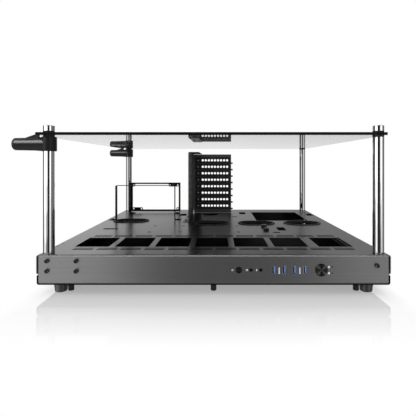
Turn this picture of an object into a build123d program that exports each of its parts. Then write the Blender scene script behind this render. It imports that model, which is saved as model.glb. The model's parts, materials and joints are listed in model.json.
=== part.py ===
from build123d import *
import os

# Open air test bench for computer parts: a low folded steel tray on rubber feet, four bright posts that
# hold a glass sheet over it, two stand arms, an expansion bracket, a power supply cradle and a port row.
# Layout, in mm: X to the right from the tray's middle, Y back from the front face, Z up from the floor.

# Tray: the deck and the pan under it, folded from steel sheet and as wide and deep as what stands on it
tray_h = 51.0
edge_margin = 10.4
cradle_gap = 22.9
board_reach = 42.9
board_inset = 45.66
mid_bay_d = 159.0
cutout_gap = 9.5
cutout_margin = 69.0
sheet = 1.5
bend = 3.0
return_d = 20.0
side_lip = 12.0
side_lip_end = 6.0
pan_wall_h = 15.5
seam_gap = 2.5
pan_inset = 0.2
pan_lip = 1.5

# Rubber feet under the pan
foot_h = 18.0
foot_top_r = 12.0
foot_low_r = 10.5
foot_edge = 1.5
foot_inset_x = 32.0
foot_inset_y = 25.0
foot_recess_r = 5.5
foot_recess_h = 6.0
foot_screw_r = 2.0
foot_screw_head_r = 4.2
foot_screw_head_h = 2.6
foot_screw_tail = 5.0

# Thumbscrews that hold the pan to the deck's return lips
pan_screw_inset_x = 54.0
pan_screw_inset_y = 14.0
pan_screw_r = 2.0
pan_screw_head_r = 5.0
pan_screw_head_h = 10.0
pan_screw_neck_r = 3.6
pan_screw_neck_h = 3.0
pan_screw_tail = 6.0

# Bright posts, their bolts, rubber washers and screw-on caps
post_r = 9.5
post_inset_x = 13.5
post_inset_y = 18.0
post_bolt_r = 3.0
post_bolt_head_r = 5.5
post_bolt_head_h = 4.0
post_bolt_grip = 14.0
washer_low_t = 2.0
washer_top_t = 3.0
cap_h = 10.0
cap_edge = 0.8
stud_r = 4.0
stud_grip = 12.0
thread_spare = 3.0
slip = 0.1

# Glass sheet, carried a little to the left of the posts' middle
glass_t = 5.0
glass_clear = 16.0
glass_shift = 3.5
glass_corner_r = 5.0
glass_edge = 0.5
glass_hole_r = 6.0

# Stand arms clamped on the left posts
collar_r = 13.0
collar_h = 25.0
collar_edge = 1.0
arm_len = 55.5
arm_root_r = 11.8
arm_end_r = 10.8
flare_len = 20.0
pad_t = 6.0
pad_round = 4.8
peg_r = 3.0
peg_len = 6.0
lug_w = 8.0
lug_len = 21.5
lug_hold = 3.0
lug_top = 2.0
lug_gap = 0.8
grub_r = 2.5

# Punched field at the front of the deck: vent windows between the slots for two sizes of fan
window_count = 7
window_margin = 41.0
window_d = 82.0
window_r = 3.0
rib_w = 11.0
wide_rib = 8.0
fan_slot_front = 39.5
fan_pitch = 124.5
small_fan_pitch = 105.0
fan_slot_len = 38.0
fan_slot_w = 5.5
fan_slot_pitch = 43.0
fan_slot_count = 12

# Oval cable holes with rubber grommets
oval_len = 89.0
oval_w = 59.0
oval_inset = 75.2
oval_pitch = 117.8
middle_oval_reach = 59.7
oval_left_setback = 240.0
grommet_lip = 3.0
grommet_wall = 3.0
grommet_lip_t = 2.0
grommet_round = 0.8

# Back-plate cut-out and the holes round it
cutout_w = 138.0
cutout_d = 166.0
cutout_r = 6.0
cutout_inset = 119.0
board_setback = 10.2
board_mid_col = 124.46
board_last_col = 281.94
board_mid_row = 154.94
board_last_row = 227.33
board_hole_r = 1.75
drive_inset = 187.7
drive_pitch_x = 70.0
drive_pitch_y = 78.0
drive_hole_r = 4.0
pump_inset = 246.0
round_hole_r = 21.0
round_hole_reach = 56.5
round_hole_setback = 118.0
edge_hole_r = 2.0
edge_hole_inset = 7.0
edge_hole_front = 65.0
edge_hole_pitch = 24.0

# Square-ended cable slots, and small slots for cable ties
cable_slot_len = 42.0
cable_slot_w = 19.0
cable_slot_r = 2.0
right_slot_inset = 18.0
right_slot_setback = 122.0
inner_slot_inset = 217.0
inner_slot_setback = 90.0
left_slot_reach = 25.5
left_slot_setback = 124.0
mid_slot_inset = 143.0
tie_slot_len = 18.0
tie_slot_w = 10.0
rear_tie_inset = 244.0
rear_tie_setback = 164.0
front_tie_inset = 161.0
front_tie_ahead = 44.5
long_tie_len = 35.0
long_tie_w = 14.0
long_tie_inset = 53.0

# Pair of knurled screws in the deck
deck_screw_inset = 181.0
deck_screw_pitch = 42.0
deck_screw_r = 2.5
deck_screw_head_r = 6.5
deck_screw_head_h = 6.0
deck_screw_tail = 8.0

# Expansion bracket: side wall, rear plate and the slot covers on it
rear_setback = 78.0
slot_count = 8
slot_pitch = 20.32
slot_low = 22.2
bracket_w = 119.5
bracket_front_gap = 15.0
bracket_foot = 9.0
bracket_head = 20.5
plate_drop = 2.0
plate_gap = 0.5
bracket_top_w = 28.5
bracket_base_w = 14.0
slot_window_h = 12.0
slot_window_w = 86.5
slot_window_x = 25.8
comb_tab = 5.0
comb_drop = 9.0
cover_t = 1.0
cover_len = 109.0
cover_inset = 8.5
cover_gap = 1.7
cover_corner_r = 1.5
vent_r = 3.5
vent_pitch = 9.56
vent_count = 9
vent_first = 22.0
slot_screw_inset = 7.0

# Power supply cradle: rear frame with screw ears, and a strap over the middle
psu_w = 150.0
psu_h = 86.0
psu_side_gap = 1.5
psu_lift = 6.5
psu_head = 2.0
psu_hole_margin = 6.0
psu_hole_pitch = 138.0
psu_hole_top_across = 114.0
psu_hole_rise = 74.0
psu_hole_r = 2.0
psu_ear_r = 4.5
frame_bar = 4.5
frame_sill = 5.5
frame_gap = 4.7
frame_flange = 25.0
frame_tab = 16.0
frame_tab_len = 18.0
strap_d = 18.0
strap_t = 1.0
strap_bend = 2.0
strap_left_gap = 9.0
strap_right_gap = 1.2
strap_tab = 17.0
strap_setback = 218.0

# Small black screws shared by the brackets
screw_r = 1.9
screw_head_r = 3.4
screw_head_h = 2.4
screw_tail = 3.5
bracket_screw_count = 3
bracket_screw_margin = 22.0

# Socket screws that stand out of the front face
stand_screw_r = 2.0
stand_screw_head_r = 3.5
stand_screw_head_h = 5.0
stand_screw_tail = 6.0
stand_socket_r = 2.0
stand_socket_h = 2.5
stand_screw_inset = 18.5
stand_screw_pitch_x = 49.5
stand_screw_pitch_z = 17.0
stand_screw_drop = 10.0
single_screw_inset = 23.5
single_screw_drop = 17.7

# Front ports: board behind the face, USB sockets, jacks, buttons and lamp lenses
card_gap = 16.9
card_t = 1.6
boss_h = 2.0
boss_r = 3.0
io_bracket_t = 1.0
io_bracket_h = 34.0
io_bracket_tab = 10.0
io_left = 30.0
io_right = 213.0
io_board_h = 30.0
io_board_play = 2.0
io_screw_in = 8.0
io_screw_up = 11.0
io_screw_r = 1.2
io_screw_head_r = 2.6
io_screw_head_h = 1.6
usb_first_x = 102.0
usb_pitch = 18.0
usb_pair_pitch = 35.0
usb_w = 6.0
usb_h = 13.6
usb_wall = 0.45
usb_reveal = 0.5
usb_setback = 0.3
usb_block_d = 6.0
tongue_t = 1.9
tongue_off = 1.1
tongue_h = 11.6
tongue_setback = 2.0
jack_first_x = 63.5
jack_pitch = 16.5
jack_r = 3.0
jack_bore_r = 1.8
jack_barrel = 6.0
jack_body = 9.0
jack_setback = 0.2
lens_x = 200.5
lens_r = 1.2
lens_split = 10.5
power_x = 182.5
power_r = 10.4
power_proud = 1.5
power_travel = 1.0
power_stem_r = 3.0
power_switch_w = 12.0
reset_x = 43.0
reset_r = 5.2
reset_proud = 0.8
reset_travel = 0.8
reset_stem_r = 2.0
reset_switch_w = 6.0
button_gap = 0.4
button_play = 0.2
button_rim = 1.8
button_rim_t = 1.2
button_edge = 0.5
switch_d = 5.0
plunger_d = 1.5
plunger_r = 1.4

# Lines across the tray, from its left edge to its right
frame_half = psu_w / 2 + psu_side_gap + sheet
strap_span = strap_left_gap + psu_w + strap_right_gap + 2 * strap_t
cradle_w = strap_span + 2 * strap_tab
tray_w = edge_margin + cradle_w + cradle_gap + board_reach + board_last_col + board_inset
half_w = tray_w / 2
strap_left = edge_margin + strap_tab - half_w
strap_right = strap_left + strap_span
psu_left = strap_left + strap_t + strap_left_gap
psu_x = psu_left + psu_w / 2
bracket_x = strap_right + strap_tab + cradle_gap
bracket_screw_x = bracket_x - bracket_base_w / 2
cover_x = bracket_x + cover_inset
board_x = bracket_x + board_reach
cutout_x = half_w - cutout_inset
drive_x = drive_inset - half_w
post_x = half_w - post_inset_x
foot_x = half_w - foot_inset_x
tab_screw_x = frame_half - (frame_tab + sheet) / 2
strap_screw_xs = (strap_left - strap_tab / 2, strap_right + strap_tab / 2)

# Lines from the tray's front to its rear
window_y = fan_slot_front + fan_pitch / 2
fan_rows = [window_y + side * pitch / 2 for pitch in (fan_pitch, small_fan_pitch) for side in (-1, 1)]
mid_bay_y = fan_slot_front + fan_pitch + mid_bay_d / 2
oval_row_y = fan_slot_front + fan_pitch + mid_bay_d
cutout_y = oval_row_y + oval_w / 2 + grommet_lip + cutout_gap + cutout_d / 2
tray_d = cutout_y + cutout_d / 2 + cutout_margin
board_y = tray_d - board_setback
rear_y = tray_d - rear_setback
bracket_front = oval_row_y + bracket_front_gap
bracket_d = rear_y - bracket_front
strap_y = tray_d - strap_setback
frame_tab_y = rear_y - frame_flange / 2
card_y = sheet + card_gap
card_back = card_y + card_t

# Levels from the floor up
mid = sheet / 2
pan_top = foot_h + pan_wall_h
deck_z = foot_h + tray_h
under_z = deck_z - sheet
io_z = foot_h + tray_h / 2
stand_z = deck_z - stand_screw_drop
psu_z = deck_z + psu_lift
cradle_top = psu_z + psu_h + psu_head
slot_zs = [deck_z + slot_low + i * slot_pitch for i in range(slot_count)]
bracket_top = slot_zs[-1] + bracket_head
post_top = bracket_top + glass_clear
arm_z = post_top - collar_h / 2
glass_z = post_top + washer_low_t
glass_top = glass_z + glass_t
cap_z = glass_top + washer_top_t

# Places of the pieces that repeat
post_ys = (post_inset_y, tray_d - post_inset_y)
post_places = [(x, y) for x in (-post_x, post_x) for y in post_ys]
foot_places = [(x, y) for x in (-foot_x, foot_x) for y in (foot_inset_y, tray_d - foot_inset_y)]
pan_screw_xs = (pan_screw_inset_x - half_w, 0.0, half_w - pan_screw_inset_x)
pan_screw_places = [(x, y) for x in pan_screw_xs for y in (pan_screw_inset_y, tray_d - pan_screw_inset_y)]
board_cols = (0.0, board_mid_col, board_last_col)
board_rows = (0.0, board_mid_row, board_last_row)
psu_far = psu_hole_margin + psu_hole_pitch
psu_up = psu_hole_margin + psu_hole_rise
psu_ears = (
    (psu_hole_margin, psu_far - psu_hole_top_across, psu_hole_margin),
    (psu_far, psu_far, psu_hole_margin),
    (psu_hole_margin, psu_hole_margin, psu_up),
    (psu_hole_margin + psu_hole_top_across, psu_far, psu_up),
)
ovals = {
    "cable_grommet_left": (oval_inset - half_w, tray_d - oval_left_setback),
    "cable_grommet_middle": (bracket_x + middle_oval_reach, oval_row_y),
    "cable_grommet_inner_right": (half_w - oval_inset - oval_pitch, oval_row_y),
    "cable_grommet_outer_right": (half_w - oval_inset, oval_row_y),
}
cable_slots = (
    (half_w - right_slot_inset, tray_d - right_slot_setback),
    (half_w - inner_slot_inset, tray_d - inner_slot_setback),
    (bracket_x - left_slot_reach, tray_d - left_slot_setback),
    (half_w - mid_slot_inset, mid_bay_y),
)
tie_slots = (
    (half_w - rear_tie_inset, tray_d - rear_tie_setback),
    (half_w - front_tie_inset, mid_bay_y - front_tie_ahead),
)
usb_xs = [usb_first_x + pair * usb_pair_pitch + side * usb_pitch for pair in (0, 1) for side in (0, 1)]
jack_xs = (jack_first_x, jack_first_x + jack_pitch)
lens_zs = (io_z + lens_split / 2, io_z - lens_split / 2)
io_screw_places = [(x, io_z + up) for x in (io_left + io_screw_in, io_right - io_screw_in)
                   for up in (-io_screw_up, io_screw_up)]
stand_places = [(stand_screw_inset - half_w + i * stand_screw_pitch_x, stand_z - k * stand_screw_pitch_z)
                for i in (0, 1) for k in (0, 1)]
stand_places.append((half_w - single_screw_inset, deck_z - single_screw_drop))
up_from = (Align.CENTER, Align.CENTER, Align.MIN)


def folded(points, radius, thick, plane, length):
    """Bent sheet: the middle line of its section on a plane, drawn out along the plane's normal."""
    line = FilletPolyline(*points, radius=radius)
    return extrude(plane * trace(line, line_width=thick), length)


def facing_front(y):
    """Plane across the bench at depth y, X to the right and Z up, whose normal points to the front."""
    return Plane((0, y, 0), x_dir=(1, 0, 0), z_dir=(0, -1, 0))


def rod(r, x, y, low, high):
    """Upright round bar between two levels."""
    return Pos(x, y, low) * Cylinder(r, high - low, align=up_from)


def rod_back(r, x, z, front, back):
    """Round bar lying front to back between two depths."""
    return facing_front(front) * Pos(x, z) * extrude(Circle(r), front - back)


def turned(*points):
    """Piece turned about Z from its half section of (radius, height) points."""
    return revolve(Plane.XZ * make_face(Polyline(*points, close=True)), axis=Axis.Z)


def screw(r, head_r, head_h, length):
    """Pan-head screw along Z with its seat at zero and its shank below."""
    head = Cylinder(head_r, head_h, align=up_from)
    head = chamfer(head.edges().group_by(Axis.Z)[-1], head_h / 3)
    return head + rod(r, 0, 0, -length, 0)


def group(solids):
    """Separate like pieces kept together in one node."""
    return Part() + list(solids)


def deck_panel():
    """Deck: one sheet folded down at its sides, front and rear, with every punched hole."""
    low = pan_top + seam_gap
    side = half_w - mid
    side_z = low + mid
    lip_x = half_w - side_lip
    top = deck_z - mid
    profile = [(-lip_x, side_z), (-side, side_z), (-side, top), (side, top), (side, side_z), (lip_x, side_z)]
    deck = folded(profile, bend, sheet, facing_front(0), -tray_d)
    flange_w = 2 * (half_w - pan_inset - mid - bend - slip)
    bend_d = bend + mid
    lip_z = foot_h + sheet + mid
    for edge, inward in ((0, 1), (tray_d, -1)):
        strip = Box(flange_w, 2 * bend_d, 2 * sheet)
        deck -= Pos(0, edge, top) * strip
        deck -= Pos(0, edge, side_z) * Box(flange_w, 2 * side_lip_end, 2 * sheet)
        fold = [(2 * bend_d, top), (mid, top), (mid, lip_z), (return_d, lip_z)]
        fold = [(edge + inward * y, z) for y, z in fold]
        deck += folded(fold, bend, sheet, Plane.YZ.offset(-flange_w / 2), flange_w)
    lap_w = 2 * (half_w - pan_inset - sheet - slip)
    lap_low = foot_h + sheet + bend
    lap_h = low - slip - lap_low
    deck += Pos(0, tray_d - mid, lap_low + lap_h / 2) * Box(lap_w, sheet, lap_h)
    deck -= extrude(Plane.XY.offset(under_z - sheet) * deck_holes(), 3 * sheet)
    deck -= extrude(facing_front(2 * sheet) * face_holes(), 4 * sheet)
    return deck - [rod(pan_screw_r + slip, x, y, foot_h, foot_h + 3 * sheet) for x, y in pan_screw_places]


def window_places():
    """Middle and width of each vent window, from the field's width and the ribs between them."""
    field = tray_w - 2 * window_margin
    width = (field - (window_count - 1) * rib_w - wide_rib) / window_count
    for i in range(window_count):
        last = i == window_count - 1
        left = -field / 2 + i * (width + rib_w) + (wide_rib if last else 0)
        yield left + width / 2, width


def deck_holes():
    """Plan of every hole punched in the deck's top."""
    holes = []
    for x, width in window_places():
        holes.append(Pos(x, window_y) * RectangleRounded(width, window_d, window_r))
    for y in fan_rows:
        for place in GridLocations(fan_slot_pitch, 1, fan_slot_count, 1):
            holes.append(Pos(0, y) * place * SlotOverall(fan_slot_len, fan_slot_w))
    for x, y in ovals.values():
        holes.append(Pos(x, y) * SlotOverall(oval_len, oval_w))
    cutout = RectangleRounded(cutout_w, cutout_d, cutout_r)
    holes.append(Pos(cutout_x, cutout_y) * cutout)
    cable_slot = RectangleRounded(cable_slot_w, cable_slot_len, cable_slot_r)
    holes += [Pos(x, y) * cable_slot for x, y in cable_slots]
    holes += [Pos(x, y) * SlotOverall(tie_slot_len, tie_slot_w) for x, y in tie_slots]
    holes.append(Pos(long_tie_inset - half_w, mid_bay_y) * SlotOverall(long_tie_len, long_tie_w))
    holes.append(Pos(bracket_x + round_hole_reach, tray_d - round_hole_setback) * Circle(round_hole_r))
    board_places = [(board_x + col, board_y - row) for col in board_cols for row in board_rows]
    drive_ys = (mid_bay_y - drive_pitch_y / 2, mid_bay_y + drive_pitch_y / 2)
    drive_places = [(drive_x + i * drive_pitch_x / 2, y) for i in (-1, 1) for y in drive_ys]
    pump_places = [(half_w - pump_inset, y) for y in drive_ys]
    edge_places = [(edge_hole_inset - half_w, edge_hole_front + i * edge_hole_pitch) for i in (0, 1)]
    rounds = (
        (board_places, board_hole_r),
        (drive_places + pump_places, drive_hole_r),
        (edge_places, edge_hole_r),
        (post_places, post_bolt_r + slip),
        (deck_screw_places(), deck_screw_r + slip),
        (bracket_screw_places() + cradle_screw_places(), screw_r + slip),
    )
    for places, r in rounds:
        holes += [Pos(x, y) * Circle(r) for x, y in places]
    return Sketch() + holes


def face_holes():
    """Front view of every hole in the deck's front flange."""
    usb_hole = RectangleRounded(usb_w + 2 * usb_reveal, usb_h + 2 * usb_reveal, usb_reveal)
    holes = [Pos(x, io_z) * usb_hole for x in usb_xs]
    holes += [Pos(x, io_z) * Circle(jack_r + slip) for x in jack_xs]
    holes += [Pos(lens_x, z) * Circle(lens_r + slip) for z in lens_zs]
    holes += [Pos(x, z) * Circle(stand_screw_r + slip) for x, z in stand_places]
    holes.append(Pos(power_x, io_z) * Circle(power_r + button_gap))
    holes.append(Pos(reset_x, io_z) * Circle(reset_r + button_gap))
    return Sketch() + holes


def deck_screw_places():
    return [(half_w - deck_screw_inset, mid_bay_y + i * deck_screw_pitch / 2) for i in (-1, 1)]


def bracket_screw_places():
    step = (bracket_d - 2 * bracket_screw_margin) / (bracket_screw_count - 1)
    first = bracket_front + bracket_screw_margin
    return [(bracket_screw_x, first + i * step) for i in range(bracket_screw_count)]


def cradle_screw_places():
    frame = [(psu_x + side * tab_screw_x, frame_tab_y) for side in (-1, 1)]
    return frame + [(x, strap_y) for x in strap_screw_xs]


def bottom_pan():
    """Pan: one sheet with its two side walls folded up, screwed under the deck's return lips."""
    side = half_w - pan_inset - mid
    low = foot_h + mid
    profile = [(-side, pan_top), (-side, low), (side, low), (side, pan_top)]
    pan = folded(profile, bend, sheet, facing_front(pan_lip), 2 * pan_lip - tray_d)
    holes = [(foot_screw_r, x, y) for x, y in foot_places]
    holes += [(pan_screw_r, x, y) for x, y in pan_screw_places]
    return pan - [rod(r + slip, x, y, foot_h - sheet, foot_h + 2 * sheet) for r, x, y in holes]


def foot(x, y):
    """Tapered rubber foot with a recess for its screw."""
    block = turned((0, 0), (foot_low_r - foot_edge, 0), (foot_low_r, foot_edge), (foot_top_r, foot_h),
                   (0, foot_h))
    block -= rod(foot_recess_r, 0, 0, 0, foot_recess_h)
    block -= rod(foot_screw_r + slip, 0, 0, 0, foot_h)
    return Pos(x, y, 0) * block


def foot_screw(x, y):
    length = foot_h - foot_recess_h + sheet + foot_screw_tail
    piece = screw(foot_screw_r, foot_screw_head_r, foot_screw_head_h, length)
    return Pos(x, y, foot_recess_h) * Rot(180, 0, 0) * piece


def pan_screw(x, y):
    """Thumbscrew: a tall gripped head, a neck and a shank up through the pan and the deck's lip."""
    neck = pan_screw_neck_h
    base = neck + pan_screw_head_h
    tail = 2 * sheet + pan_screw_tail
    piece = turned((0, -base), (pan_screw_head_r, -base), (pan_screw_head_r, -neck),
                   (pan_screw_neck_r, -neck), (pan_screw_neck_r, 0), (pan_screw_r, 0), (pan_screw_r, tail),
                   (0, tail))
    return Pos(x, y, foot_h) * piece


def post(x, y):
    """Round post with a tapped hole in each end."""
    bar = rod(post_r, x, y, deck_z, post_top)
    bar -= rod(post_bolt_r + slip, x, y, deck_z, deck_z + post_bolt_grip + thread_spare)
    return bar - rod(stud_r + slip, x, y, post_top - stud_grip - thread_spare, post_top)


def post_bolt(x, y):
    bolt = screw(post_bolt_r, post_bolt_head_r, post_bolt_head_h, sheet + post_bolt_grip)
    return Pos(x, y, under_z) * Rot(180, 0, 0) * bolt


def post_cap(x, y):
    """Turned cap with its stud, which clamps the glass between two rubber washers."""
    top = cap_z + cap_h
    foot_z = post_top - stud_grip
    piece = turned((0, foot_z), (stud_r, foot_z), (stud_r, cap_z), (post_r, cap_z), (post_r, top - cap_edge),
                   (post_r - cap_edge, top), (0, top))
    return Pos(x, y, 0) * piece


def low_washer(x, y):
    return rod(post_r, x, y, post_top, glass_z) - rod(stud_r + slip, x, y, post_top, glass_z)


def top_washer(x, y):
    """Rubber washer with a sleeve that keeps the stud off the glass."""
    flat = rod(post_r, x, y, glass_top, cap_z)
    sleeve = rod(glass_hole_r - slip, x, y, glass_z, glass_top)
    return flat + sleeve - rod(stud_r + slip, x, y, glass_z, cap_z)


def glass_panel():
    """Glass sheet with rounded corners, ground edges and a hole at each post."""
    outline = RectangleRounded(tray_w, tray_d, glass_corner_r)
    plate = extrude(Plane.XY.offset(glass_z) * Pos(-glass_shift, tray_d / 2) * outline, glass_t)
    rims = plate.edges().group_by(Axis.Z)
    plate = chamfer(rims[0] + rims[-1], glass_edge)
    for x, y in post_places:
        plate -= rod(glass_hole_r, x, y, glass_z, glass_top)
    return plate


def stand_clamp(y):
    """Stand arm: a collar round the post, a flared tapering arm and a ramp that stops the glass's edge."""
    collar = rod(collar_r, -post_x, y, post_top - collar_h, post_top)
    rims = collar.edges().group_by(Axis.Z)
    collar = chamfer(rims[0] + rims[-1], collar_edge)
    along_arm = Plane((-post_x, y, arm_z), x_dir=(0, 1, 0), z_dir=(-1, 0, 0))
    arm = along_arm * Cone(arm_root_r, arm_end_r, arm_len, align=up_from)
    flare = along_arm * Cone(collar_h / 2, arm_root_r, flare_len, align=up_from)
    lug_end = -half_w - glass_shift - lug_gap
    lug_z = glass_z + lug_hold
    lug_start = lug_end - lug_len
    ramp = Polyline((lug_start, arm_z), (lug_start, arm_z + arm_end_r), (lug_end - lug_top, lug_z),
                    (lug_end, lug_z), (lug_end, arm_z), close=True)
    lug = extrude(facing_front(y - lug_w / 2) * make_face(ramp), -lug_w)
    clamp = collar + flare + arm + lug
    clamp -= rod(post_r + slip, -post_x, y, post_top - collar_h, post_top)
    clamp -= along_arm * Pos(0, 0, arm_len - peg_len) * Cylinder(peg_r + slip, peg_len, align=up_from)
    return clamp - rod_back(grub_r + slip, -post_x, arm_z, y + post_r, y + collar_r)


def stand_pad(y):
    """Domed rubber pad pegged into the arm's end."""
    end = Plane((-post_x - arm_len, y, arm_z), x_dir=(0, 1, 0), z_dir=(-1, 0, 0))
    pad = Cylinder(arm_end_r, pad_t, align=up_from)
    pad = fillet(pad.edges().group_by(Axis.Z)[-1], pad_round)
    pad += Pos(0, 0, -peg_len) * Cylinder(peg_r, peg_len, align=up_from)
    return end * pad


def clamp_grub(y):
    return rod_back(grub_r, -post_x, arm_z, y + post_r + slip, y + collar_r - slip)


def grommet(x, y):
    """Rubber ring seated in an oval hole, with a lip over each face of the deck."""
    opening = SlotOverall(oval_len - 2 * grommet_wall, oval_w - 2 * grommet_wall)
    lip = SlotOverall(oval_len + 2 * grommet_lip, oval_w + 2 * grommet_lip)
    neck = SlotOverall(oval_len - 2 * slip, oval_w - 2 * slip)
    upper = extrude(Plane.XY.offset(deck_z) * lip, grommet_lip_t)
    upper = fillet(upper.edges().group_by(Axis.Z)[-1], grommet_round)
    ring = upper + extrude(Plane.XY.offset(under_z) * neck, sheet)
    ring += extrude(Plane.XY.offset(under_z) * lip, -grommet_lip_t)
    ring -= extrude(Plane.XY.offset(under_z - grommet_lip_t) * opening, sheet + 2 * grommet_lip_t)
    return Pos(x, y, 0) * ring


def deck_screw(x, y):
    piece = screw(deck_screw_r, deck_screw_head_r, deck_screw_head_h, sheet + deck_screw_tail)
    return Pos(x, y, deck_z) * piece


def expansion_bracket():
    """Folded bracket: side wall with base and top flanges, and a rear plate with slots and comb tabs."""
    wall = bracket_x + mid
    corner = bend + mid
    section = [(bracket_x - bracket_base_w, deck_z + mid), (wall, deck_z + mid), (wall, bracket_top - mid),
               (bracket_x + bracket_top_w, bracket_top - mid)]
    bracket = folded(section, bend, sheet, facing_front(bracket_front), corner - bracket_d)
    plan = [(wall, rear_y - 2 * corner), (wall, rear_y + mid), (bracket_x + bracket_w, rear_y + mid)]
    foot_z = deck_z + bracket_foot
    plate_h = bracket_top - plate_drop - foot_z
    bracket += folded(plan, bend, sheet, Plane.XY.offset(foot_z), plate_h)
    skirt_w = bracket_w - corner
    skirt_h = bracket_foot - plate_gap
    skirt = Rectangle(skirt_w, skirt_h + 2 * slip)
    skirt_place = Pos(bracket_x + bracket_w - skirt_w / 2, foot_z - skirt_h / 2)
    bracket += extrude(facing_front(rear_y) * skirt_place * skirt, -sheet)
    window = RectangleRounded(slot_window_w, slot_window_h, cover_corner_r)
    holes = [Pos(bracket_x + slot_window_x + slot_window_w / 2, z) * window for z in slot_zs]
    holes += [Pos(cover_x + slot_screw_inset, z) * Circle(screw_r + slip) for z in slot_zs]
    tab = Rectangle(2 * comb_tab, comb_tab)
    tabs = [Pos(bracket_x + bracket_w, z - comb_drop) * tab for z in slot_zs]
    bracket += extrude(facing_front(rear_y) * (Sketch() + tabs), -sheet)
    bracket -= extrude(facing_front(rear_y - sheet) * (Sketch() + holes), -3 * sheet)
    feet = [rod(screw_r + slip, x, y, deck_z, deck_z + 2 * sheet) for x, y in bracket_screw_places()]
    return bracket - feet


def slot_cover(z):
    """Slot cover: a strip with a row of round vents and a screw hole at its left end."""
    strip = RectangleRounded(cover_len, slot_pitch - cover_gap, cover_corner_r)
    face = Pos(cover_x + cover_len / 2, z) * strip
    vents = [Pos(cover_x + vent_first + i * vent_pitch, z) * Circle(vent_r) for i in range(vent_count)]
    screw_hole = Pos(cover_x + slot_screw_inset, z) * Circle(screw_r + slip)
    return extrude(facing_front(rear_y) * (face - vents - screw_hole), cover_t)


def slot_screw(z):
    place = Plane((cover_x + slot_screw_inset, rear_y - cover_t, z), x_dir=(1, 0, 0), z_dir=(0, -1, 0))
    return place * screw(screw_r, screw_head_r, screw_head_h, cover_t + sheet + screw_tail)


def deck_bound_screw(x, y, thick):
    """Screw that holds a bracket's foot of the given thickness to the deck."""
    return Pos(x, y, deck_z + thick) * screw(screw_r, screw_head_r, screw_head_h, thick + sheet + screw_tail)


def psu_frame():
    """Rear frame of the cradle: folded side flanges, feet, and a plate cut away to its screw ears."""
    left = psu_x - frame_half + mid
    right = psu_x + frame_half - mid
    front = rear_y - frame_flange
    plan = [(left, front), (left, rear_y + mid), (right, rear_y + mid), (right, front)]
    low = deck_z + frame_gap
    frame = folded(plan, bend, sheet, Plane.XY.offset(low), cradle_top - low)
    open_low = low + frame_sill
    open_top = cradle_top - frame_bar
    open_half = frame_half - sheet - frame_bar
    opening = Pos(psu_x, (open_low + open_top) / 2) * Rectangle(2 * open_half, open_top - open_low)
    for first, last, up in psu_ears:
        x = psu_left + (first + last) / 2
        z = psu_z + up
        ear_w = last - first + 2 * psu_ear_r
        edge_z = open_top if up > psu_h / 2 else open_low
        ear = Pos(x, z) * RectangleRounded(ear_w, 2 * psu_ear_r, psu_ear_r - slip)
        ear += Pos(x, (z + edge_z) / 2) * Rectangle(ear_w, abs(edge_z - z) + slip)
        opening -= ear
        opening += [Pos(psu_left + across, z) * Circle(psu_hole_r) for across in (first, last)]
    frame -= extrude(facing_front(rear_y - sheet) * opening, -3 * sheet)
    for side in (-1, 1):
        wall = psu_x + side * (frame_half - mid)
        toe = psu_x + side * (frame_half - frame_tab)
        tab = [(wall, low + 2 * bend), (wall, deck_z + mid), (toe, deck_z + mid)]
        frame += folded(tab, bend, sheet, facing_front(frame_tab_y - frame_tab_len / 2), -frame_tab_len)
        frame -= rod(screw_r + slip, psu_x + side * tab_screw_x, frame_tab_y, deck_z, deck_z + 2 * sheet)
    return frame


def psu_strap():
    """Strap over the power supply: a thin bent strip with a foot at each end."""
    left = strap_left + strap_t / 2
    right = strap_right - strap_t / 2
    low = deck_z + strap_t / 2
    top = cradle_top - strap_t / 2
    section = [(strap_left - strap_tab, low), (left, low), (left, top), (right, top), (right, low),
               (strap_right + strap_tab, low)]
    strap = folded(section, strap_bend, strap_t, facing_front(strap_y - strap_d / 2), -strap_d)
    return strap - [rod(screw_r + slip, x, strap_y, deck_z, deck_z + 2 * strap_t) for x in strap_screw_xs]


def stand_screw(x, z):
    """Socket-head screw that stands out of the front face."""
    piece = screw(stand_screw_r, stand_screw_head_r, stand_screw_head_h, sheet + stand_screw_tail)
    socket = extrude(RegularPolygon(stand_socket_r, 6), stand_socket_h)
    piece -= Pos(0, 0, stand_screw_head_h - stand_socket_h) * socket
    return Plane((x, 0, z), x_dir=(1, 0, 0), z_dir=(0, -1, 0)) * piece


def io_bracket():
    """Hat-shaped bracket on the back of the front flange, with a boss at each of the board's screws."""
    flat = sheet + io_bracket_t / 2
    back = card_back + boss_h + io_bracket_t / 2
    plan = [(io_left - io_bracket_tab, flat), (io_left, flat), (io_left, back), (io_right, back),
            (io_right, flat), (io_right + io_bracket_tab, flat)]
    low = Plane.XY.offset(io_z - io_bracket_h / 2)
    bracket = folded(plan, io_bracket_t, io_bracket_t, low, io_bracket_h)
    for x, z in io_screw_places:
        bracket += rod_back(boss_r, x, z, card_back, card_back + boss_h)
        bracket -= rod_back(io_screw_r + slip, x, z, card_back, card_back + 2 * boss_h)
    return bracket


def io_board():
    """Circuit board behind the front ports."""
    width = io_right - io_left - 2 * io_board_play
    outline = Pos((io_left + io_right) / 2, io_z) * RectangleRounded(width, io_board_h, io_board_play)
    for x, z in io_screw_places:
        outline -= Pos(x, z) * Circle(io_screw_r + slip)
    return extrude(facing_front(card_y) * outline, -card_t)


def io_screw(x, z):
    place = Plane((x, card_y, z), x_dir=(1, 0, 0), z_dir=(0, -1, 0))
    return place * screw(io_screw_r, io_screw_head_r, io_screw_head_h, card_t + boss_h + io_bracket_t)


def usb_shell(x):
    """Folded metal shell of an upright USB socket, open at the front and seated on the board."""
    section = Rectangle(usb_w, usb_h) - Rectangle(usb_w - 2 * usb_wall, usb_h - 2 * usb_wall)
    return extrude(facing_front(usb_setback) * Pos(x, io_z) * section, usb_setback - card_y)


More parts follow.
